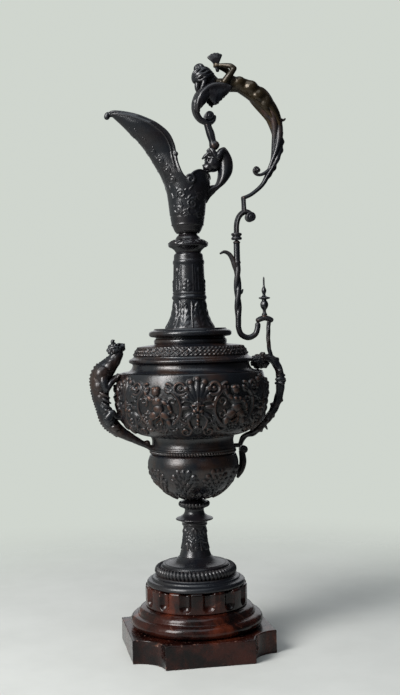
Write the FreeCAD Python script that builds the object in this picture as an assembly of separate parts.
import FreeCAD
import Part
import functools
import math
import os

# A tall cast bronze ewer on a turned marble plinth, made of its separate castings and fixings.
# Millimetres, +Z up. The origin is the centre of the plinth's underside. The pouring lip points
# along -X, and the scroll handle with its bent-back figure stands on +X.

# Common to all castings
WALL = 3.0
FIT_GAP = 0.15
SPIGOT_HEIGHT = 4.0
OVERRUN = 5.0
RUNNING_GAP = 0.05
SEAT_GAP = 0.2

# Marble plinth
SLAB_WIDTH = 150.0
SLAB_HEIGHT = 24.0
SLAB_CORNER_RADIUS = 29.0
TORUS_RADIUS = 70.0
TORUS_HEIGHT = 22.0
DRUM_RADIUS = 54.0
DRUM_HEIGHT = 22.0
FLUTE_COUNT = 14
FLUTE_RADIUS = 5.0
FLUTE_DEPTH = 4.0
FLUTE_FOOT = 4.0
FLUTE_PHASE_DEGREES = 3.0

# Tie rod that draws plinth, foot, stem and bowl together
ROD_RADIUS = 4.0
ROD_CLEARANCE = 0.5
ROD_TAIL = 2.0
NUT_FLATS = 13.0
NUT_HEIGHT = 6.5
WASHER_RADIUS = 14.0
WASHER_HEIGHT = 3.0
SEAL_RADIUS = 11.0
SEAL_HEIGHT = 1.5
COUNTERBORE_RADIUS = 17.0
COUNTERBORE_DEPTH = 14.0

# Bronze foot and stem
PLATE_RADIUS = 52.0
PLATE_HEIGHT = 10.0
DOME_RADIUS = 41.4
DOME_HEIGHT = 19.0
DOME_HOLLOW_RADIUS = 32.0
DOME_HOLLOW_HEIGHT = 7.0
STEM_RADIUS = 17.0
STEM_HEIGHT = 32.0
COLLAR_RADIUS = 20.0
COLLAR_HEIGHT = 18.0
KNOP_RADIUS = 15.5
KNOP_HEIGHT = 11.5
STEM_SPIGOT_RADIUS = 7.0

# Bowl, girdle and belly
BOWL_RADIUS = 48.0
BOWL_HEIGHT = 48.0
BOWL_FLOOR = 5.0
BOWL_MOUTH_RADIUS = 38.0
GIRDLE_RADIUS = 45.5
GIRDLE_HEIGHT = 7.5
BELLY_RADIUS = 79.0
BELLY_HEIGHT = 78.0
BELLY_MOUTH_RADIUS = 59.0

# Main lumps of the belly's frieze: masks under crests, and children between them
FRIEZE_COUNT = 6
FRIEZE_PHASE_DEGREES = -6.0
FRIEZE_TILT_DEGREES = 8.0
BESIDE_HANDLE_DEGREES = 20.0
MASK_PROUD = 3.2
MASK_WIDTH = 14.0
MASK_HEIGHT = 18.0
CREST_PROUD = 2.6
CREST_WIDTH = 16.0
CREST_HEIGHT = 16.0
CHILD_PROUD = 3.8
CHILD_WIDTH = 20.0
CHILD_HEIGHT = 32.0

# Shoulder and neck
SHOULDER_RADIUS = 73.0
SHOULDER_HEIGHT = 17.5
CAP_RADIUS = 60.5
CAP_HEIGHT = 12.5
CAP_MOUTH_RADIUS = 30.0
DISC_RADIUS = 44.0
DISC_HEIGHT = 16.0
NECK_BASE_RADIUS = 26.5
NECK_BASE_HEIGHT = 30.0
BAND_RADIUS = 18.6
BAND_HEIGHT = 5.5
NECK_RADIUS = 17.4
NECK_HEIGHT = 44.5
NECK_BORE = 11.0
NECK_SPIGOT_WALL = 2.0
NECK_KNOP_RADIUS = 21.3
NECK_KNOP_HEIGHT = 20.0
THROAT_BORE = 6.5

# Mouth and pouring lip
MOUTH_RADIUS = 20.0
MOUTH_HEIGHT = 127.0
MOUTH_FLOOR = 4.0
LIP_REACH = 82.0

# Upper handle, measured from the ewer's axis and from the mouth's foot
HANDLE_REACH = 100.0
HANDLE_RISE = 192.0
STRAP_THICKNESS = 10.0
STRAP_WIDTH = 18.0
BEAST_LENGTH = 19.0
BEAST_WIDTH = 18.0
BEAST_HEIGHT = 20.0
LINK_THICKNESS = 9.0
LEAF_THICKNESS = 18.0
LEAF_WIDTH = 26.0
LEAF_VOLUTE_RADIUS = 4.6
LEAF_VOLUTE_WIDTH = 12.0
TORSO_THICKNESS = 17.0
TORSO_WIDTH = 20.0
HEAD_LENGTH = 26.0
HEAD_WIDTH = 20.0
HEAD_HEIGHT = 25.0
ARM_THICKNESS = 6.4
SHELL_THICKNESS = 13.0
SHELL_WIDTH = 6.0
TAIL_THICKNESS = 19.0
TAIL_WIDTH = 19.0
TAIL_VOLUTE_RADIUS = 3.7
TAIL_VOLUTE_WIDTH = 8.0
STEP_THICKNESS = 5.5
STEP_WIDTH = 8.0
STEP_VOLUTE_RADIUS = 5.2
STEP_VOLUTE_WIDTH = 10.0
HANDLE_COLLAR_RADIUS = 5.8
HANDLE_COLLAR_HEIGHT = 7.5
COLLAR_LAP = 2.0
ROD_STEM_THICKNESS = 6.0
SPRIG_THICKNESS = 4.0

# Saddle and finial, where the tall stem meets the branch handle
SADDLE_RISE = 34.5
SADDLE_HALF_SPAN = 9.0
SADDLE_ARCH = 4.0
SADDLE_THICKNESS = 5.5
SADDLE_WIDTH = 8.0
BEND_DEPTH = 17.5
FINIAL_REACH = 2.5
FINIAL_RADIUS = 6.0
FINIAL_HEIGHT = 41.5
STUD_RADIUS = 1.1
STUD_LENGTH = 12.0
DROP_THICKNESS = 4.4

# Branch handle on the right of the belly
BRANCH_REACH = 18.5
BRANCH_THICKNESS = 8.8
KNOT_SWELL = 1.8
KNOT_HEIGHT = 14.0
KNOT_CLEARANCE = 0.4
BOSS_LENGTH = 16.0
BOSS_WIDTH = 17.0
BOSS_HEIGHT = 17.0
LEAF_END_THICKNESS = 6.4
LEAF_END_WIDTH = 14.0
LEAF_BALL_RADIUS = 4.2
LEAF_BALL_WIDTH = 9.0
GIRDLE_STRUT_THICKNESS = 4.6

# Crouching beast on the left of the belly
BEAST_REACH = 17.5
BEAST_BODY_THICKNESS = 22.0
BEAST_BODY_WIDTH = 20.0
BEAST_HEAD_LENGTH = 15.0
BEAST_HEAD_WIDTH = 14.0
BEAST_HEAD_HEIGHT = 20.0
BEAST_LEG_THICKNESS = 7.0
BEAST_LEG_SPREAD = 6.0
BEAST_CURL_RADIUS = 2.8
BEAST_CURL_WIDTH = 6.0

# Rivets that hold handle and beast to the vessel
RIVET_RADIUS = 1.3
RIVET_LENGTH = 12.0
SHORT_RIVET_LENGTH = 8.5
PAW_DROP = 6.0

# Outlines of the turned pieces, as (radius share, height share). A pair of points is an arc
# through the first of them to the second.
TORUS_SHARES = ((0.92, 0.0), ((1.0, 0.30), (0.89, 0.64)), (0.875, 0.68), ((0.855, 0.86), (0.78, 1.0)))
PLATE_SHARES = ((1.0, 0.0), (1.0, 0.22), ((0.985, 0.42), (0.93, 0.55)), (0.9, 0.62), (0.885, 0.8),
                (0.83, 0.86), (0.81, 1.0))
DOME_SHARES = ((0.9, 0.0), ((1.0, 0.24), (0.9, 0.47)), (0.86, 0.5), (0.85, 0.56), ((0.62, 0.73),
               (0.41, 1.0)))
STEM_SHARES = ((1.0, 0.0), ((0.8, 0.36), (0.72, 1.0)))
COLLAR_SHARES = ((0.62, 0.0), (0.66, 0.06), (0.66, 0.14), ((0.74, 0.24), (1.0, 0.36)), (1.0, 0.42),
                 ((0.74, 0.54), (0.56, 0.7)), ((0.51, 0.85), (0.52, 1.0)))
KNOP_SHARES = ((0.67, 0.0), ((0.82, 0.1), (0.95, 0.28)), ((1.0, 0.46), (0.9, 0.66)), ((0.68, 0.78),
               (0.52, 0.97)),
               (0.52, 1.0))
BOWL_SHARES = ((0.17, 0.0), (0.36, 0.015), ((0.77, 0.27), (0.97, 0.62)), ((1.0, 0.78), (0.965, 0.92)),
               ((0.935, 0.98), (0.88, 1.0)))
GIRDLE_SHARES = ((0.95, 0.0), ((0.985, 0.22), (0.97, 0.45)), (1.0, 0.5), (1.0, 0.68), (0.975, 1.0))
BELLY_SHARES = ((0.56, 0.0), ((0.545, 0.07), (0.57, 0.14)), (0.6, 0.155), ((0.845, 0.26), (0.955, 0.48)),
                ((1.0, 0.75), (0.965, 0.985)), (0.955, 1.0))
SHOULDER_SHARES = ((1.0, 0.0), (1.0, 0.05), ((0.87, 0.22), (0.845, 0.5)), (0.885, 0.62),
                   ((0.895, 0.74), (0.88, 0.83)),
                   (0.835, 0.93), (0.83, 1.0))
CAP_SHARES = ((1.0, 0.0), (1.0, 0.05), ((0.965, 0.45), (0.905, 0.75)), (0.88, 0.8), (0.64, 0.95),
              (0.635, 1.0))
DISC_SHARES = ((0.86, 0.0), (0.875, 0.08), (0.875, 0.28), (0.83, 0.34), (0.83, 0.42), (0.93, 0.46),
               ((1.0, 0.66), (0.93, 0.86)), (0.88, 0.9), (0.86, 1.0))
NECK_BASE_SHARES = ((1.0, 0.0), ((0.765, 0.4), (0.65, 1.0)))
BAND_SHARES = ((0.93, 0.0), (0.95, 0.1), ((1.0, 0.45), (0.95, 0.8)), (0.93, 1.0))
NECK_SHARES = ((0.99, 0.0), (0.925, 0.72), (0.945, 0.735), ((0.96, 0.78), (0.93, 0.82)), ((0.88, 0.9),
               (0.76, 0.98)),
               (0.76, 1.0))
NECK_KNOP_SHARES = ((0.62, 0.0), ((0.72, 0.16), (0.9, 0.28)), ((1.0, 0.4), (0.92, 0.52)),
                    ((0.76, 0.66), (0.55, 0.86)),
                    (0.46, 0.93), (0.46, 1.0))
FINIAL_SHARES = ((0.5, 0.0), (0.5, 0.03), (0.3, 0.08), (0.3, 0.14), (0.45, 0.17), ((0.67, 0.29),
                 (0.4, 0.385)),
                 (0.4, 0.41), (1.0, 0.435), (1.0, 0.465), (0.5, 0.49), (0.27, 0.52), (0.27, 0.56),
                 ((0.43, 0.64), (0.22, 0.73)), (0.17, 0.78), (0.15, 0.97), (0.05, 1.0))
HANDLE_COLLAR_SHARES = ((0.7, 0.0), ((1.0, 0.18), (0.85, 0.4)), (0.75, 0.5), (0.85, 0.6), ((1.0, 0.82),
                        (0.7, 1.0)))
KNOT_SHARES = ((0.4, 0.0), ((1.0, 0.16), (0.5, 0.33)), ((1.0, 0.5), (0.5, 0.67)), ((1.0, 0.84), (0.4, 1.0)))

# Middles of the frieze's lumps, as shares of the belly's radius and height
MASK_PLACE_SHARES = (0.978, 0.565)
CREST_PLACE_SHARES = (0.997, 0.833)
CHILD_PLACE_SHARES = (0.986, 0.615)

# Level cuts through the mouth, as (height share, centre share of the lip's reach, half length
# share and half depth share of the mouth's radius)
MOUTH_SHARES = ((0.0, 0.0, 0.60, 0.60), (0.024, 0.0, 0.71, 0.71), (0.075, 0.0, 0.85, 0.85),
                (0.157, 0.0, 0.94, 0.94),
                (0.252, 0.0, 1.0, 0.99), (0.331, 0.006, 1.09, 1.03), (0.409, 0.012, 1.21, 1.07),
                (0.488, -0.024, 1.315, 1.06), (0.572, -0.104, 1.30, 0.93), (0.654, -0.165, 1.35, 0.84),
                (0.735, -0.244, 1.385, 0.85), (0.817, -0.354, 1.45, 0.90), (0.898, -0.476, 1.46, 0.84),
                (0.957, -0.61, 1.325, 0.64), (1.0, -0.805, 0.8, 0.33))

# Side view of the rim, as shares of the lip's reach and of the mouth's height
LIP_RIM_SHARES = ((-0.923, 1.008), (-0.833, 0.992), (-0.70, 0.961), (-0.418, 0.866), (-0.293, 0.794),
                  (-0.216, 0.706),
                  (-0.20, 0.615), (-0.187, 0.54), (-0.154, 0.474), (-0.08, 0.424))
LOBE_RIM_SHARES = ((0.138, 0.496), (0.31, 0.421))

# Stations of the upper handle, as (reach share, rise share, thickness share, width share)
STRAP_SHARES = ((0.17, 0.215, 0.7, 0.8), (0.26, 0.236, 0.65, 0.85), (0.335, 0.262, 0.75, 0.95),
                (0.387, 0.3, 1.1, 1.0), (0.417, 0.345, 1.6, 1.0), (0.42, 0.395, 1.65, 0.95),
                (0.395, 0.445, 1.3, 0.85), (0.345, 0.483, 0.95, 0.72))
BEAST_PLACE_SHARES = (0.241, 0.40)
LINK_SHARES = ((0.325, 0.455, 1.1, 1.1), (0.305, 0.49, 1.2, 1.2), (0.27, 0.55, 1.05, 1.05),
               (0.24, 0.612, 0.95, 0.95))
LEAF_SHARES = ((0.47, 0.782, 0.45, 0.5), (0.40, 0.788, 0.8, 0.85), (0.31, 0.783, 1.0, 1.0),
               (0.23, 0.760, 0.78, 1.0),
               (0.16, 0.727, 0.5, 0.92), (0.125, 0.685, 0.36, 0.7), (0.145, 0.643, 0.33, 0.5),
               (0.195, 0.616, 0.33, 0.4), (0.25, 0.606, 0.33, 0.36), (0.30, 0.618, 0.3, 0.36),
               (0.315, 0.64, 0.25, 0.36))
LEAF_VOLUTE_SHARES = (0.276, 0.647)
TORSO_SHARES = ((0.33, 0.848, 0.5, 0.45), (0.415, 0.828, 0.55, 0.55), (0.46, 0.824, 0.82, 0.92),
                (0.535, 0.823, 1.0, 1.05), (0.62, 0.825, 0.94, 0.85), (0.70, 0.806, 1.02, 0.98),
                (0.765, 0.772, 1.1, 1.05), (0.80, 0.748, 1.14, 1.05))
HEAD_PLACE_SHARES = (0.235, 0.867)
ARM_SHARES = ((0.46, 0.828, 1.0, 0.36), (0.495, 0.865, 1.0, 0.46), (0.515, 0.896, 0.95, 0.5),
              (0.50, 0.922, 0.95, 0.48), (0.45, 0.932, 0.85, 0.4), (0.395, 0.930, 0.8, 0.28),
              (0.345, 0.925, 0.8, 0.17))
SHELL_SHARES = ((0.348, 0.915, 0.5, 0.45), (0.338, 0.945, 0.7, 0.65), (0.328, 0.98, 1.0, 1.0),
                (0.322, 1.0, 0.8, 0.9))
TAIL_SHARES = ((0.77, 0.77, 1.0, 1.05), (0.80, 0.748, 1.02, 1.05), (0.855, 0.706, 1.0, 1.0),
               (0.925, 0.643, 0.79, 0.85),
               (0.98, 0.573, 0.66, 0.75), (0.998, 0.495, 0.58, 0.68), (0.975, 0.427, 0.52, 0.6),
               (0.92, 0.362, 0.44, 0.5), (0.87, 0.318, 0.28, 0.42), (0.81, 0.273, 0.25, 0.4),
               (0.69, 0.221, 0.24, 0.4), (0.60, 0.195, 0.25, 0.4))
THORN_SHARES = ((0.95, 0.62, 0.24, 0.3), (1.02, 0.638, 0.2, 0.2), (1.07, 0.65, 0.06, 0.06))
TAIL_SCROLL_SHARES = ((0.93, 0.365, 0.22, 0.3), (0.865, 0.338, 0.2, 0.3), (0.82, 0.338, 0.18, 0.3),
                      (0.78, 0.348, 0.16, 0.3))
TAIL_VOLUTE_SHARES = (0.775, 0.358)
POST_SHARES = ((0.612, 0.21, 1.0, 1.0), (0.617, 0.112, 1.0, 1.0))
STEP_SHARES = ((0.70, 0.10, 0.8, 1.0), (0.665, 0.115, 1.0, 1.0), (0.615, 0.118, 1.0, 1.0),
               (0.56, 0.094, 1.0, 1.0),
               (0.532, 0.052, 1.0, 1.0), (0.527, -0.008, 1.0, 0.9))
STEP_VOLUTE_SHARES = (0.682, 0.091)
SPRIG_SHARES = ((0.52, -0.175, 0.9, 0.9), (0.49, -0.155, 1.0, 1.2), (0.468, -0.113, 0.9, 1.4),
                (0.42, -0.096, 0.7, 1.2),
                (0.354, -0.104, 0.3, 0.5))
BUD_SHARES = ((0.53, -0.337, 0.7, 0.7), (0.562, -0.33, 0.7, 0.7), (0.585, -0.311, 0.4, 0.4))

# Where the tall stem comes up under the saddle
BEND_FOOT_SHARE = 0.85

# Stations of the saddle, as (half span share, arch share)
SADDLE_SHARES = ((-1.0, 0.0), (-0.55, 0.5), (0.0, 0.75), (0.55, 0.5), (1.0, 0.0))
SADDLE_BOSS_SHARE = 0.55

# Stations of the drop rod, as (half span share, drop share)
DROP_SHARES = ((0.53, 1.0), (0.41, 0.62), (0.47, 0.29), (0.72, 0.0))

# Stations of the branch and its leaf end, as (reach share beyond the vessel's side, height share from
# the girdle's foot to the shoulder's top, thickness share, width share). The side runs from the girdle's
# radius at the foot to the belly's at SIDE_SHARE of the height.
SIDE_SHARE = 0.45
BRANCH_ROOT_SHARE = 0.74
BRANCH_TOP_SHARE = 0.951
BRANCH_SHARES = ((-0.15, 0.951, 0.86, 0.86), (0.05, 0.951, 0.9, 0.9), (0.49, 0.937, 0.97, 0.97),
                 (0.84, 0.864, 0.98, 0.98), (1.0, 0.762, 1.0, 1.0), (1.0, 0.655, 1.02, 1.02),
                 (0.9, 0.5485, 1.0, 1.0), (0.706, 0.436, 0.95, 0.95), (0.733, 0.335, 0.9, 0.9),
                 (0.613, 0.243, 0.86, 0.86), (0.427, 0.175, 0.77, 0.77), (0.107, 0.155, 0.64, 0.64),
                 (-0.01, 0.117, 0.6, 0.6), (0.11, 0.05, 0.6, 0.6))
KNOT_PLACE_SHARES = (1.0, 0.64)
BOSS_PLACE_SHARES = (-0.13, 0.922)
LEAF_END_SHARES = ((0.41, 0.0, 0.9, 0.6), (0.43, -0.034, 0.9, 0.75), (0.47, -0.12, 1.0, 1.0),
                   (0.34, -0.21, 0.75, 0.85), (0.09, -0.29, 0.25, 0.25))
LEAF_BALL_SHARES = (0.469, 0.008)
GIRDLE_STRUT_ROOT_SHARE = 0.9
GIRDLE_STRUT_SHARES = (0.15, 0.052)

# Stations of the beast, in the same shares on the other side
BEAST_BODY_SHARES = ((0.1, 0.985, 0.55, 0.6), (0.46, 0.898, 0.77, 0.8), (0.8, 0.825, 0.95, 0.95),
                     (0.97, 0.743, 1.0, 1.0),
                     (0.99, 0.646, 0.87, 0.95), (0.91, 0.539, 0.76, 0.85), (0.774, 0.442, 0.69, 0.82),
                     (0.869, 0.354, 0.67, 0.78), (0.787, 0.272, 0.53, 0.6), (0.528, 0.192, 0.4, 0.45),
                     (0.114, 0.141, 0.31, 0.35), (0.0, 0.085, 0.28, 0.32))
BEAST_TAIL_ROOT_SHARE = 0.93
BEAST_TAIL_SHARES = (0.29, 0.29)
BEAST_HEAD_SHARES = (0.03, 1.083)
BEAST_CURL_SHARES = (-0.367, 0.146)
FORELEG_SHARES = ((0.86, 0.735, 1.1), (0.55, 0.71, 1.0), (0.2, 0.743, 0.9), (-0.05, 0.77, 0.9))
FORELEG_ROOT_SHARE = 0.93
HINDLEG_SHARES = ((0.947, 0.345, 1.15), (0.452, 0.372, 1.0))
HINDLEG_ROOT_SHARE = 0.88
HINDLEG_PAW_SHARE = 0.385

# Rivet seats, as shares of the radius that each rivet starts from, and of the girdle's height
SHOULDER_RIVET_SHARE = 0.78
GIRDLE_RIVET_SHARE = 0.78
GIRDLE_LEVEL_SHARE = 0.71
PAW_RIVET_SHARE = 0.9
STRAP_RIVET_SHARES = (0.9, 0.226)

SECTION_POINTS = 8
Y_AXIS = FreeCAD.Vector(0, 1, 0)
Z_AXIS = FreeCAD.Vector(0, 0, 1)

# The turned pieces stand on each other in this order
STACK = (("slab", SLAB_HEIGHT), ("torus", TORUS_HEIGHT), ("drum", DRUM_HEIGHT), ("plate", PLATE_HEIGHT),
         ("dome", DOME_HEIGHT), ("stem", STEM_HEIGHT), ("collar", COLLAR_HEIGHT), ("knop", KNOP_HEIGHT),
         ("bowl", BOWL_HEIGHT), ("girdle", GIRDLE_HEIGHT), ("belly", BELLY_HEIGHT),
         ("shoulder", SHOULDER_HEIGHT), ("cap", CAP_HEIGHT), ("disc", DISC_HEIGHT),
         ("neck_base", NECK_BASE_HEIGHT), ("band", BAND_HEIGHT), ("neck", NECK_HEIGHT),
         ("neck_knop", NECK_KNOP_HEIGHT), ("mouth", MOUTH_HEIGHT))


def stack_levels():
    levels = {}
    level = 0.0
    for name, height in STACK:
        levels[name] = level
        level += height
    return levels


LEVELS = stack_levels()
ROD_HOLE = ROD_RADIUS + ROD_CLEARANCE
GIRDLE_BORE = BOWL_MOUTH_RADIUS - WALL
SHOULDER_BORE = BELLY_MOUTH_RADIUS - WALL
BRANCH_SPAN = LEVELS["cap"] - LEVELS["girdle"]
SADDLE_LEVEL = LEVELS["cap"] + SADDLE_RISE
FINIAL_X = BELLY_RADIUS + FINIAL_REACH


# Helpers

def point(x, y, z):
    return FreeCAD.Vector(x, y, z)


def edges_through(steps):
    """Edges in the XZ plane through (x, z) points; a pair is an arc via the first to the second."""
    edges = []
    start = point(steps[0][0], 0, steps[0][1])
    for step in steps[1:]:
        if isinstance(step[0], tuple):
            via, end = (point(x, 0, z) for x, z in step)
            edges.append(Part.Arc(start, via, end).toShape())
        else:
            end = point(step[0], 0, step[1])
            edges.append(Part.LineSegment(start, end).toShape())
        start = end
    return edges


def scaled(shares, radius, height, level):
    """An outline's shares as real (radius, z) points."""
    steps = []
    for share in shares:
        if isinstance(share[0], tuple):
            steps.append(tuple((radius * r, level + height * z) for r, z in share))
        else:
            steps.append((radius * share[0], level + height * share[1]))
    return steps


def turned(shares, radius, height, level, bore=0.0):
    """A piece turned about the Z axis from its outline, with a straight bore."""
    outer = scaled(shares, radius, height, level)
    steps = [(bore, level)] + outer + [(bore, level + height), (bore, level)]
    face = Part.Face(Part.Wire(edges_through(steps)))
    return face.revolve(point(0, 0, 0), Z_AXIS, 360)


def post(radius, level, height, x=0.0):
    return Part.makeCylinder(radius, height, point(x, 0, level))


def ring(outer, inner, level, height):
    return post(outer, level, height).cut(post(inner, level - OVERRUN, height + 2 * OVERRUN))


def hexagon(flats, level, height):
    corner = flats / math.sqrt(3)
    corners = [point(corner * math.cos(math.radians(a)), corner * math.sin(math.radians(a)), level)
               for a in range(0, 361, 60)]
    return Part.Face(Part.makePolygon(corners)).extrude(point(0, 0, height))


def section(centre, along, half_thickness, half_width):
    """A closed oval across a limb: its width lies near Y, and its thickness square to that."""
    across = Y_AXIS.cross(along).normalize()
    side = along.cross(across).normalize()
    points = []
    for k in range(SECTION_POINTS):
        turn = 2 * math.pi * k / SECTION_POINTS
        offset = across * (half_thickness * math.cos(turn)) + side * (half_width * math.sin(turn))
        points.append(centre + offset)
    curve = Part.BSplineCurve()
    curve.interpolate(points, PeriodicFlag=True)
    return Part.Wire(curve.toShape())


def limb(stations):
    """A smooth tapering bar through (x, y, z, thickness, width) stations."""
    centres = [point(x, y, z) for x, y, z, _, _ in stations]
    wires = []
    for k, station in enumerate(stations):
        before = centres[max(k - 1, 0)]
        after = centres[min(k + 1, len(centres) - 1)]
        wires.append(section(centres[k], (after - before).normalize(), station[3] / 2, station[4] / 2))
    return Part.makeLoft(wires, True)


def oval(centre, length, width, height):
    """An ellipsoid of the given overall sizes."""
    matrix = FreeCAD.Matrix()
    matrix.scale(length / 2, width / 2, height / 2)
    shape = Part.makeSphere(1).transformGeometry(matrix)
    shape.translate(centre)
    return shape


def roll(x, z, radius, width):
    """A scroll's eye: a short round bar along Y."""
    return Part.makeCylinder(radius, width, point(x, -width / 2, z), Y_AXIS)


def largest(shape):
    return max(shape.Solids, key=lambda solid: solid.Volume)


def cut_all(shape, tools):
    for tool in tools:
        shape = shape.cut(tool)
    return largest(shape)


def mirrored(shape):
    """A shape and its twin on the other side of the XZ plane."""
    return Part.makeCompound([shape, shape.mirror(point(0, 0, 0), Y_AXIS)])


def handle_place(reach_share, rise_share):
    return HANDLE_REACH * reach_share, LEVELS["mouth"] + HANDLE_RISE * rise_share


def handle_limb(shares, thickness, width):
    stations = []
    for reach, rise, thick, wide in shares:
        x, z = handle_place(reach, rise)
        stations.append((x, 0, z, thickness * thick, width * wide))
    return limb(stations)


def vessel_side(height_share):
    """The vessel's rough radius at a height: the girdle's at the foot, widening to the belly's."""
    climb = min(max(height_share / SIDE_SHARE, 0), 1)
    return GIRDLE_RADIUS + (BELLY_RADIUS - GIRDLE_RADIUS) * climb


def branch_place(reach_share, height_share):
    x = vessel_side(height_share) + BRANCH_REACH * reach_share
    return x, LEVELS["girdle"] + BRANCH_SPAN * height_share


def beast_place(reach_share, height_share):
    x = vessel_side(height_share) + BEAST_REACH * reach_share
    return -x, LEVELS["girdle"] + BRANCH_SPAN * height_share


def girdle_fix_level():
    return LEVELS["girdle"] + GIRDLE_HEIGHT * GIRDLE_LEVEL_SHARE


def paw_fix_level():
    return LEVELS["shoulder"] - PAW_DROP


# Marble plinth

def plinth_slab():
    half = SLAB_WIDTH / 2
    slab = Part.makeBox(SLAB_WIDTH, SLAB_WIDTH, SLAB_HEIGHT, point(-half, -half, 0))
    for x in (-half, half):
        for y in (-half, half):
            foot = point(x, y, -OVERRUN)
            slab = slab.cut(Part.makeCylinder(SLAB_CORNER_RADIUS, SLAB_HEIGHT + 2 * OVERRUN, foot))
    slab = slab.cut(post(ROD_HOLE, -OVERRUN, SLAB_HEIGHT + 2 * OVERRUN))
    return slab.cut(post(COUNTERBORE_RADIUS, -OVERRUN, COUNTERBORE_DEPTH + OVERRUN))


def plinth_torus():
    return turned(TORUS_SHARES, TORUS_RADIUS, TORUS_HEIGHT, LEVELS["torus"], ROD_HOLE)


def plinth_drum():
    drum = ring(DRUM_RADIUS, ROD_HOLE, LEVELS["drum"], DRUM_HEIGHT)
    flute_foot = LEVELS["drum"] + FLUTE_FOOT + FLUTE_RADIUS
    centre = DRUM_RADIUS + FLUTE_RADIUS - FLUTE_DEPTH
    for k in range(FLUTE_COUNT):
        turn = math.radians(FLUTE_PHASE_DEGREES + k * 360 / FLUTE_COUNT)
        place = point(centre * math.sin(turn), -centre * math.cos(turn), flute_foot)
        drum = drum.cut(Part.makeCylinder(FLUTE_RADIUS, DRUM_HEIGHT + OVERRUN, place))
        drum = drum.cut(Part.makeSphere(FLUTE_RADIUS, place))
    return drum


# Tie rod and its nuts

def bowl_floor_level():
    return LEVELS["bowl"] + BOWL_FLOOR


def rod_foot_level():
    return COUNTERBORE_DEPTH - WASHER_HEIGHT - NUT_HEIGHT - ROD_TAIL


def tie_rod():
    top = bowl_floor_level() + SEAL_HEIGHT + NUT_HEIGHT + ROD_TAIL
    return post(ROD_RADIUS, rod_foot_level(), top - rod_foot_level())


def base_washer():
    return ring(WASHER_RADIUS, ROD_RADIUS, COUNTERBORE_DEPTH - WASHER_HEIGHT, WASHER_HEIGHT)


def nut(level):
    thread = post(ROD_RADIUS, level - OVERRUN, NUT_HEIGHT + 2 * OVERRUN)
    return hexagon(NUT_FLATS, level, NUT_HEIGHT).cut(thread)


def base_nut():
    return nut(COUNTERBORE_DEPTH - WASHER_HEIGHT - NUT_HEIGHT)


def bowl_seal():
    return ring(SEAL_RADIUS, ROD_RADIUS, bowl_floor_level(), SEAL_HEIGHT)


def bowl_nut():
    return nut(bowl_floor_level() + SEAL_HEIGHT)


# Bronze foot and stem

def stem_spigot(level):
    return ring(STEM_SPIGOT_RADIUS, ROD_HOLE, level, SPIGOT_HEIGHT)


def stem_socket(level):
    return post(STEM_SPIGOT_RADIUS + FIT_GAP, level - OVERRUN, SPIGOT_HEIGHT + FIT_GAP + OVERRUN)


def foot_plate():
    plate = turned(PLATE_SHARES, PLATE_RADIUS, PLATE_HEIGHT, LEVELS["plate"], ROD_HOLE)
    rim = DOME_HOLLOW_RADIUS - FIT_GAP
    return plate.fuse(ring(rim, rim - WALL, LEVELS["dome"], SPIGOT_HEIGHT))


def foot_dome():
    dome = turned(DOME_SHARES, DOME_RADIUS, DOME_HEIGHT, LEVELS["dome"], ROD_HOLE)
    hollow = post(DOME_HOLLOW_RADIUS, LEVELS["dome"] - OVERRUN, DOME_HOLLOW_HEIGHT + OVERRUN)
    return dome.cut(hollow).fuse(stem_spigot(LEVELS["stem"]))


def stem():
    shape = turned(STEM_SHARES, STEM_RADIUS, STEM_HEIGHT, LEVELS["stem"], ROD_HOLE)
    return shape.cut(stem_socket(LEVELS["stem"])).fuse(stem_spigot(LEVELS["collar"]))


def stem_collar():
    shape = turned(COLLAR_SHARES, COLLAR_RADIUS, COLLAR_HEIGHT, LEVELS["collar"], ROD_HOLE)
    return shape.cut(stem_socket(LEVELS["collar"])).fuse(stem_spigot(LEVELS["knop"]))


def stem_knop():
    shape = turned(KNOP_SHARES, KNOP_RADIUS, KNOP_HEIGHT, LEVELS["knop"], ROD_HOLE)
    return shape.cut(stem_socket(LEVELS["knop"]))


# Bowl, girdle and belly

def bowl_outside():
    return turned(BOWL_SHARES, BOWL_RADIUS, BOWL_HEIGHT, LEVELS["bowl"])


def bowl():
    hollow = turned(BOWL_SHARES, BOWL_RADIUS - WALL, BOWL_HEIGHT - BOWL_FLOOR - WALL, bowl_floor_level())
    shape = bowl_outside().cut(hollow).cut(post(SEAL_RADIUS + FIT_GAP, bowl_floor_level(), BOWL_FLOOR))
    shape = shape.cut(post(BOWL_MOUTH_RADIUS, LEVELS["girdle"] - SPIGOT_HEIGHT - WALL, BOWL_HEIGHT))
    return shape.cut(post(ROD_HOLE, LEVELS["bowl"] - OVERRUN, BOWL_FLOOR + 2 * OVERRUN))


def girdle_outside():
    return turned(GIRDLE_SHARES, GIRDLE_RADIUS, GIRDLE_HEIGHT, LEVELS["girdle"])


def girdle_ring():
    spigot = ring(BOWL_MOUTH_RADIUS - FIT_GAP, GIRDLE_BORE, LEVELS["girdle"] - SPIGOT_HEIGHT,
                  GIRDLE_HEIGHT + 2 * SPIGOT_HEIGHT)
    bored = girdle_outside().cut(post(GIRDLE_BORE, LEVELS["girdle"] - OVERRUN, GIRDLE_HEIGHT + 2 * OVERRUN))
    return bored.fuse(spigot).cut(girdle_rivets())


def belly_outside():
    return turned(BELLY_SHARES, BELLY_RADIUS, BELLY_HEIGHT, LEVELS["belly"])


def frieze_lump(turn, place_shares, proud, width, height):
    """A domed lump of ornament on the belly, at a turn in degrees from the front towards +X."""
    reach, rise = place_shares
    lump = oval(point(0, 0, 0), 2 * proud, width, height)
    lump.rotate(point(0, 0, 0), Y_AXIS, FRIEZE_TILT_DEGREES)
    lump.translate(point(BELLY_RADIUS * reach, 0, LEVELS["belly"] + BELLY_HEIGHT * rise))
    lump.rotate(point(0, 0, 0), Z_AXIS, turn - 90)
    return lump


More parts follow.
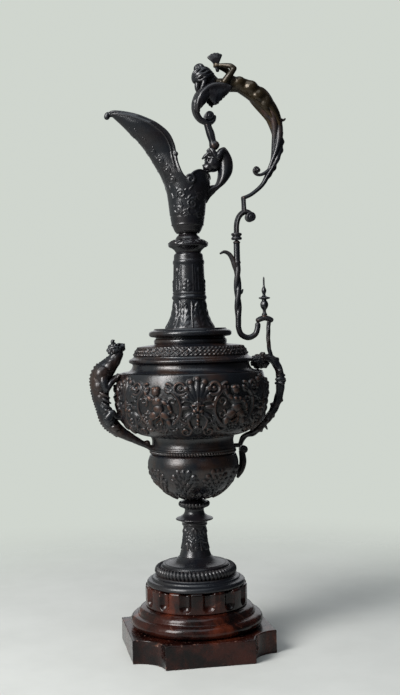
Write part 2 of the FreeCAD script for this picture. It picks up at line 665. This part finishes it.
def frieze_lumps():
    """The lumps all round; no child stands behind the branch handle or the beast."""
    lumps = []
    for k in range(FRIEZE_COUNT):
        turn = FRIEZE_PHASE_DEGREES + k * 360 / FRIEZE_COUNT
        lumps.append(frieze_lump(turn, MASK_PLACE_SHARES, MASK_PROUD, MASK_WIDTH, MASK_HEIGHT))
        lumps.append(frieze_lump(turn, CREST_PLACE_SHARES, CREST_PROUD, CREST_WIDTH, CREST_HEIGHT))
        turn += 180 / FRIEZE_COUNT
        if abs(math.cos(math.radians(turn))) > math.sin(math.radians(BESIDE_HANDLE_DEGREES)):
            lumps.append(frieze_lump(turn, CHILD_PLACE_SHARES, CHILD_PROUD, CHILD_WIDTH, CHILD_HEIGHT))
    return lumps


def belly():
    hollow = turned(BELLY_SHARES, BELLY_RADIUS - WALL, BELLY_HEIGHT - 2 * WALL, LEVELS["belly"] + WALL)
    shape = belly_outside().multiFuse(frieze_lumps()).cut(hollow)
    shape = shape.cut(post(BOWL_MOUTH_RADIUS, LEVELS["belly"] - OVERRUN, SPIGOT_HEIGHT + WALL + OVERRUN))
    shape = shape.cut(post(BELLY_MOUTH_RADIUS, LEVELS["shoulder"] - SPIGOT_HEIGHT - WALL, BELLY_HEIGHT))
    return shape.cut(paw_rivets())


# Shoulder and neck

def shoulder_outside():
    return turned(SHOULDER_SHARES, SHOULDER_RADIUS, SHOULDER_HEIGHT, LEVELS["shoulder"])


def shoulder_ring():
    level = LEVELS["shoulder"]
    spigot = ring(BELLY_MOUTH_RADIUS - FIT_GAP, SHOULDER_BORE, level - SPIGOT_HEIGHT, SPIGOT_HEIGHT)
    bored = shoulder_outside().cut(post(SHOULDER_BORE, level - OVERRUN, SHOULDER_HEIGHT + 2 * OVERRUN))
    return bored.fuse(spigot).cut(shoulder_rivet())


def shoulder_cap():
    shape = turned(CAP_SHARES, CAP_RADIUS, CAP_HEIGHT, LEVELS["cap"])
    hollow_radius = SHOULDER_BORE - FIT_GAP - WALL
    hollow = turned(CAP_SHARES, hollow_radius, CAP_HEIGHT - WALL, LEVELS["cap"])
    shape = shape.cut(hollow).cut(post(CAP_MOUTH_RADIUS, LEVELS["cap"] - OVERRUN, CAP_HEIGHT + 2 * OVERRUN))
    spigot_radius = hollow_radius + WALL
    return shape.fuse(ring(spigot_radius, hollow_radius, LEVELS["cap"] - SPIGOT_HEIGHT, SPIGOT_HEIGHT))


def neck_disc():
    bore = NECK_BORE + WALL
    shape = turned(DISC_SHARES, DISC_RADIUS, DISC_HEIGHT, LEVELS["disc"], bore)
    rim = CAP_MOUTH_RADIUS - FIT_GAP
    shape = shape.fuse(ring(rim, rim - WALL, LEVELS["disc"] - SPIGOT_HEIGHT, SPIGOT_HEIGHT))
    return shape.fuse(ring(bore + WALL, bore, LEVELS["neck_base"], SPIGOT_HEIGHT))


def neck_spigot_radius():
    return NECK_BORE + NECK_SPIGOT_WALL


def neck_base():
    shape = turned(NECK_BASE_SHARES, NECK_BASE_RADIUS, NECK_BASE_HEIGHT, LEVELS["neck_base"], NECK_BORE)
    socket = NECK_BORE + 2 * WALL + FIT_GAP
    shape = shape.cut(post(socket, LEVELS["neck_base"] - OVERRUN, SPIGOT_HEIGHT + FIT_GAP + OVERRUN))
    return shape.fuse(ring(neck_spigot_radius(), NECK_BORE, LEVELS["band"], BAND_HEIGHT + SPIGOT_HEIGHT))


def neck_band():
    return turned(BAND_SHARES, BAND_RADIUS, BAND_HEIGHT, LEVELS["band"], neck_spigot_radius() + FIT_GAP)


def neck_upper():
    shape = turned(NECK_SHARES, NECK_RADIUS, NECK_HEIGHT, LEVELS["neck"], NECK_BORE)
    depth = SPIGOT_HEIGHT + FIT_GAP + OVERRUN
    return shape.cut(post(neck_spigot_radius() + FIT_GAP, LEVELS["neck"] - OVERRUN, depth))


def neck_knop():
    level = LEVELS["neck_knop"]
    shape = turned(NECK_KNOP_SHARES, NECK_KNOP_RADIUS, NECK_KNOP_HEIGHT, level, THROAT_BORE)
    shape = shape.fuse(ring(NECK_BORE - FIT_GAP, THROAT_BORE, level - SPIGOT_HEIGHT, SPIGOT_HEIGHT))
    return shape.fuse(ring(THROAT_BORE + NECK_SPIGOT_WALL, THROAT_BORE, LEVELS["mouth"], MOUTH_FLOOR))


# Mouth and pouring lip

def mouth_loft(wall, floor):
    """The mouth's level ovals skinned together, drawn in by a wall and raised by a floor."""
    wires = []
    for height, centre, length, depth in MOUTH_SHARES:
        level = LEVELS["mouth"] + floor + (MOUTH_HEIGHT - floor) * height
        place = point(LIP_REACH * centre, 0, level)
        wires.append(section(place, Z_AXIS, MOUTH_RADIUS * length - wall, MOUTH_RADIUS * depth - wall))
    return Part.makeLoft(wires, True)


def rim_point(share):
    return point(LIP_REACH * share[0], 0, LEVELS["mouth"] + MOUTH_HEIGHT * share[1])


def above_rim():
    """The space above the rim: the lip's long curve, then the low lobe at the back."""
    rim = [rim_point(share) for share in LIP_RIM_SHARES]
    lobe_top, lobe_end = (rim_point(share) for share in LOBE_RIM_SHARES)
    curve = Part.BSplineCurve()
    curve.interpolate(rim)
    top = LEVELS["mouth"] + MOUTH_HEIGHT + LIP_REACH
    around = [lobe_end, point(LIP_REACH, 0, lobe_end.z), point(LIP_REACH, 0, top),
              point(-2 * LIP_REACH, 0, top), point(-2 * LIP_REACH, 0, rim[0].z), rim[0]]
    edges = [curve.toShape(), Part.Arc(rim[-1], lobe_top, lobe_end).toShape()]
    edges += [Part.LineSegment(a, b).toShape() for a, b in zip(around, around[1:])]
    face = Part.Face(Part.Wire(edges))
    face.translate(point(0, -LIP_REACH, 0))
    return face.extrude(point(0, 2 * LIP_REACH, 0))


@functools.cache
def mouth_outside():
    return largest(mouth_loft(0.0, 0.0).cut(above_rim()))


def mouth_spout():
    shape = mouth_outside().cut(mouth_loft(WALL, MOUTH_FLOOR))
    hole_radius = THROAT_BORE + NECK_SPIGOT_WALL + FIT_GAP
    hole = post(hole_radius, LEVELS["mouth"] - OVERRUN, MOUTH_FLOOR + 2 * OVERRUN)
    return largest(shape.cut(hole).cut(strap_rivet()))


# Upper handle

@functools.cache
def strap_body():
    return handle_limb(STRAP_SHARES, STRAP_THICKNESS, STRAP_WIDTH)


def mouth_strap():
    return cut_all(strap_body(), [mouth_outside(), strap_rivet()])


@functools.cache
def strap_beast():
    x, z = handle_place(*BEAST_PLACE_SHARES)
    return cut_all(oval(point(x, 0, z), BEAST_LENGTH, BEAST_WIDTH, BEAST_HEIGHT), [strap_body()])


@functools.cache
def leaf_body():
    x, z = handle_place(*LEAF_VOLUTE_SHARES)
    leaf = handle_limb(LEAF_SHARES, LEAF_THICKNESS, LEAF_WIDTH)
    return leaf.fuse(roll(x, z, LEAF_VOLUTE_RADIUS, LEAF_VOLUTE_WIDTH))


def link_rod():
    rod = handle_limb(LINK_SHARES, LINK_THICKNESS, LINK_THICKNESS)
    return cut_all(rod, [strap_body(), strap_beast(), leaf_body()])


def scroll_leaf():
    return largest(leaf_body())


@functools.cache
def torso_body():
    return handle_limb(TORSO_SHARES, TORSO_THICKNESS, TORSO_WIDTH)


def figure_torso():
    return cut_all(torso_body(), [leaf_body()])


@functools.cache
def figure_head():
    x, z = handle_place(*HEAD_PLACE_SHARES)
    return cut_all(oval(point(x, 0, z), HEAD_LENGTH, HEAD_WIDTH, HEAD_HEIGHT), [leaf_body(), torso_body()])


@functools.cache
def arm_body():
    stations = []
    for reach, rise, thick, aside in ARM_SHARES:
        x, z = handle_place(reach, rise)
        stations.append((x, -TORSO_WIDTH * aside, z, ARM_THICKNESS * thick, ARM_THICKNESS * thick))
    return limb(stations)


@functools.cache
def shell_body():
    return handle_limb(SHELL_SHARES, SHELL_THICKNESS, SHELL_WIDTH)


def figure_arms():
    return mirrored(cut_all(arm_body(), [torso_body(), shell_body(), figure_head()]))


def held_shell():
    return cut_all(shell_body(), [figure_head()])


@functools.cache
def tail_body():
    tail = handle_limb(TAIL_SHARES, TAIL_THICKNESS, TAIL_WIDTH)
    return tail.fuse(handle_limb(THORN_SHARES, TAIL_THICKNESS, TAIL_WIDTH))


def tail_arm():
    return cut_all(tail_body(), [torso_body()])


def tail_scroll():
    x, z = handle_place(*TAIL_VOLUTE_SHARES)
    scroll = handle_limb(TAIL_SCROLL_SHARES, TAIL_THICKNESS, TAIL_WIDTH)
    return cut_all(scroll.fuse(roll(x, z, TAIL_VOLUTE_RADIUS, TAIL_VOLUTE_WIDTH)), [tail_body()])


def step_scroll():
    x, z = handle_place(*STEP_VOLUTE_SHARES)
    shape = handle_limb(POST_SHARES, STEP_THICKNESS, STEP_WIDTH)
    shape = shape.fuse(handle_limb(STEP_SHARES, STEP_THICKNESS, STEP_WIDTH))
    shape = shape.fuse(roll(x, z, STEP_VOLUTE_RADIUS, STEP_VOLUTE_WIDTH))
    below = post(HANDLE_REACH, collar_level() - HANDLE_REACH, HANDLE_REACH + HANDLE_COLLAR_HEIGHT)
    return cut_all(shape, [tail_body(), below])


def stem_x():
    return handle_place(*STEP_SHARES[-1][:2])[0]


def collar_level():
    return handle_place(*STEP_SHARES[-1][:2])[1] + COLLAR_LAP - HANDLE_COLLAR_HEIGHT


def handle_collar():
    collar = turned(HANDLE_COLLAR_SHARES, HANDLE_COLLAR_RADIUS, HANDLE_COLLAR_HEIGHT, collar_level())
    collar.translate(point(stem_x(), 0, 0))
    return collar


@functools.cache
def stem_body():
    """The tall stem hangs from its collar, then turns in a half circle up to the saddle's near foot."""
    x = stem_x()
    foot = FINIAL_X - SADDLE_HALF_SPAN * BEND_FOOT_SHARE
    bend_level = SADDLE_LEVEL - BEND_DEPTH + (foot - x) / 2
    top = point(x, 0, collar_level())
    bend_foot = point((x + foot) / 2, 0, SADDLE_LEVEL - BEND_DEPTH)
    bend = [point(x, 0, bend_level), bend_foot, point(foot, 0, bend_level)]
    path = Part.Wire([Part.LineSegment(top, bend[0]).toShape(), Part.Arc(*bend).toShape(),
                      Part.LineSegment(bend[2], point(foot, 0, SADDLE_LEVEL)).toShape()])
    circle = Part.Wire(Part.makeCircle(ROD_STEM_THICKNESS / 2, top, Z_AXIS))
    return path.makePipeShell([circle], True, True)


def handle_stem():
    return cut_all(stem_body(), [saddle_body()])


def stem_sprigs():
    hook = handle_limb(SPRIG_SHARES, SPRIG_THICKNESS, SPRIG_THICKNESS)
    bud = handle_limb(BUD_SHARES, SPRIG_THICKNESS, SPRIG_THICKNESS)
    return Part.makeCompound([cut_all(sprig, [stem_body()]) for sprig in (hook, bud)])


# Saddle and finial

def finial_level():
    return SADDLE_LEVEL + SADDLE_ARCH * SADDLE_SHARES[2][1] + SADDLE_THICKNESS / 2


def stud_body(gap):
    start = SADDLE_LEVEL + SADDLE_ARCH * SADDLE_SHARES[2][1]
    return post(STUD_RADIUS + gap, start - gap, STUD_LENGTH + 2 * gap, FINIAL_X)


@functools.cache
def saddle_body():
    stations = []
    for span, arch in SADDLE_SHARES:
        x = FINIAL_X + SADDLE_HALF_SPAN * span
        stations.append((x, 0, SADDLE_LEVEL + SADDLE_ARCH * arch, SADDLE_THICKNESS, SADDLE_WIDTH))
    boss_foot = SADDLE_LEVEL + SADDLE_ARCH * SADDLE_SHARES[2][1]
    boss = post(FINIAL_RADIUS * SADDLE_BOSS_SHARE, boss_foot, finial_level() - boss_foot, FINIAL_X)
    above = post(SADDLE_HALF_SPAN * 2, finial_level(), SADDLE_THICKNESS, FINIAL_X)
    return limb(stations).fuse(boss).cut(above)


def saddle():
    return largest(saddle_body().cut(stud_body(0.0)))


def finial_stud():
    return stud_body(0.0)


def finial():
    shape = turned(FINIAL_SHARES, FINIAL_RADIUS, FINIAL_HEIGHT, finial_level() + SEAT_GAP)
    shape.translate(point(FINIAL_X, 0, 0))
    return shape.cut(stud_body(RUNNING_GAP))


# Branch handle

def branch_limb(shares, thickness, width):
    stations = []
    for reach, height, thick, wide in shares:
        x, z = branch_place(reach, height)
        stations.append((x, 0, z, thickness * thick, width * wide))
    return stations


@functools.cache
def vessel_outside():
    return [bowl_outside(), girdle_outside(), belly_outside(), shoulder_outside()]


@functools.cache
def branch_body():
    return limb(branch_limb(BRANCH_SHARES, BRANCH_THICKNESS, BRANCH_THICKNESS))


@functools.cache
def girdle_strut():
    x = branch_place(*GIRDLE_STRUT_SHARES)[0]
    z = girdle_fix_level()
    size = GIRDLE_STRUT_THICKNESS
    return limb([(GIRDLE_RADIUS * GIRDLE_STRUT_ROOT_SHARE, 0, z, size, size), (x, 0, z, size, size)])


def branch_handle():
    shape = branch_body().fuse(cut_all(girdle_strut(), vessel_outside()))
    return cut_all(shape, [boss_body(), girdle_rivets()])


def branch_knot():
    """Three swellings on a sleeve that slips over the branch."""
    x, z = branch_place(*KNOT_PLACE_SHARES)
    steps = [(0, z)] + scaled(KNOT_SHARES, KNOT_SWELL, KNOT_HEIGHT, z) + [(0, z + KNOT_HEIGHT), (0, z)]
    face = Part.Face(Part.Wire(edges_through(steps)))
    face.translate(point(BRANCH_THICKNESS / 2 + KNOT_CLEARANCE, 0, 0))
    knot = face.revolve(point(0, 0, 0), Z_AXIS, 360)
    knot.translate(point(x, 0, 0))
    return knot


@functools.cache
def boss_body():
    x, z = branch_place(*BOSS_PLACE_SHARES)
    return oval(point(x, 0, z), BOSS_LENGTH, BOSS_WIDTH, BOSS_HEIGHT)


def branch_mask():
    """The mask's boss and the short root that ties it to the shoulder."""
    inner = branch_limb(BRANCH_SHARES, BRANCH_THICKNESS, BRANCH_THICKNESS)[0]
    root = limb([(SHOULDER_RADIUS * BRANCH_ROOT_SHARE, 0) + inner[2:], inner])
    return cut_all(boss_body().fuse(root), vessel_outside() + [shoulder_rivet()])


def leaf_terminal():
    x, z = branch_place(*LEAF_BALL_SHARES)
    leaf = limb(branch_limb(LEAF_END_SHARES, LEAF_END_THICKNESS, LEAF_END_WIDTH))
    shape = leaf.fuse(roll(x, z, LEAF_BALL_RADIUS, LEAF_BALL_WIDTH))
    return cut_all(shape, vessel_outside() + [branch_body(), girdle_strut()])


def drop_rod():
    foot = branch_place(BRANCH_SHARES[2][0], BRANCH_TOP_SHARE)[1]
    stations = []
    for span, drop in DROP_SHARES:
        x = FINIAL_X + SADDLE_HALF_SPAN * span
        stations.append((x, 0, foot + (SADDLE_LEVEL - foot) * drop, DROP_THICKNESS, DROP_THICKNESS))
    return cut_all(limb(stations), [saddle_body(), branch_body(), boss_body()])


# Crouching beast

@functools.cache
def beast_body():
    stations = []
    for reach, height, thick, wide in BEAST_BODY_SHARES:
        x, z = beast_place(reach, height)
        stations.append((x, 0, z, BEAST_BODY_THICKNESS * thick, BEAST_BODY_WIDTH * wide))
    thick, wide = BEAST_TAIL_SHARES
    root = -GIRDLE_RADIUS * BEAST_TAIL_ROOT_SHARE
    stations.append((root, 0, girdle_fix_level(), BEAST_BODY_THICKNESS * thick, BEAST_BODY_WIDTH * wide))
    x, z = beast_place(*BEAST_CURL_SHARES)
    return limb(stations).fuse(roll(x, z, BEAST_CURL_RADIUS, BEAST_CURL_WIDTH))


def creature_body():
    return cut_all(beast_body(), vessel_outside() + [girdle_rivets()])


def creature_head():
    x, z = beast_place(*BEAST_HEAD_SHARES)
    head = oval(point(x, 0, z), BEAST_HEAD_LENGTH, BEAST_HEAD_WIDTH, BEAST_HEAD_HEIGHT)
    return cut_all(head, [beast_body()])


def leg(shares, root_share, paw_level):
    stations = []
    for reach, height, thick in shares:
        x, z = beast_place(reach, height)
        size = BEAST_LEG_THICKNESS * thick
        stations.append((x, -BEAST_LEG_SPREAD, z, size, size))
    stations.append((-BELLY_RADIUS * root_share, -BEAST_LEG_SPREAD, paw_level, size, size))
    return cut_all(limb(stations), vessel_outside() + [beast_body(), paw_rivets()])


def creature_forelegs():
    return mirrored(leg(FORELEG_SHARES, FORELEG_ROOT_SHARE, paw_fix_level()))


def creature_hindlegs():
    return mirrored(leg(HINDLEG_SHARES, HINDLEG_ROOT_SHARE, beast_place(0.0, HINDLEG_PAW_SHARE)[1]))


# Rivets

def rivet(x, y, z, length=RIVET_LENGTH):
    """A rivet that runs outwards along X from the given point."""
    return Part.makeCylinder(RIVET_RADIUS, length, point(x, y, z), point(math.copysign(1, x), 0, 0))


def shoulder_rivet():
    return rivet(SHOULDER_RADIUS * SHOULDER_RIVET_SHARE, 0, branch_place(0.0, BRANCH_TOP_SHARE)[1])


def girdle_rivets():
    start = GIRDLE_RADIUS * GIRDLE_RIVET_SHARE
    return Part.makeCompound([rivet(side * start, 0, girdle_fix_level()) for side in (1, -1)])


def paw_rivets():
    start = -BELLY_RADIUS * PAW_RIVET_SHARE
    return mirrored(rivet(start, -BEAST_LEG_SPREAD, paw_fix_level(), SHORT_RIVET_LENGTH))


def strap_rivet():
    start, rise = STRAP_RIVET_SHARES
    return rivet(MOUTH_RADIUS * start, 0, handle_place(0.0, rise)[1], SHORT_RIVET_LENGTH)


def handle_rivets():
    return Part.makeCompound([shoulder_rivet(), girdle_rivets().Solids[0], strap_rivet()])


def creature_rivets():
    return Part.makeCompound([girdle_rivets().Solids[1]] + paw_rivets().Solids)


PIECES = (plinth_slab, plinth_torus, plinth_drum, tie_rod, base_washer, base_nut, bowl_seal, bowl_nut,
          foot_plate, foot_dome, stem, stem_collar, stem_knop, bowl, girdle_ring, belly, shoulder_ring,
          shoulder_cap, neck_disc, neck_base, neck_band, neck_upper, neck_knop, mouth_spout,
          mouth_strap, strap_beast, link_rod, scroll_leaf, figure_torso, figure_head, figure_arms,
          held_shell, tail_arm, tail_scroll, step_scroll, handle_collar, handle_stem, stem_sprigs,
          saddle, finial_stud, finial, branch_handle, branch_knot, branch_mask, leaf_terminal, drop_rod,
          creature_body, creature_head, creature_forelegs, creature_hindlegs,
          handle_rivets, creature_rivets)

os.makedirs("parts", exist_ok=True)
for piece in PIECES:
    piece().exportStep(os.path.join("parts", piece.__name__ + ".step"))
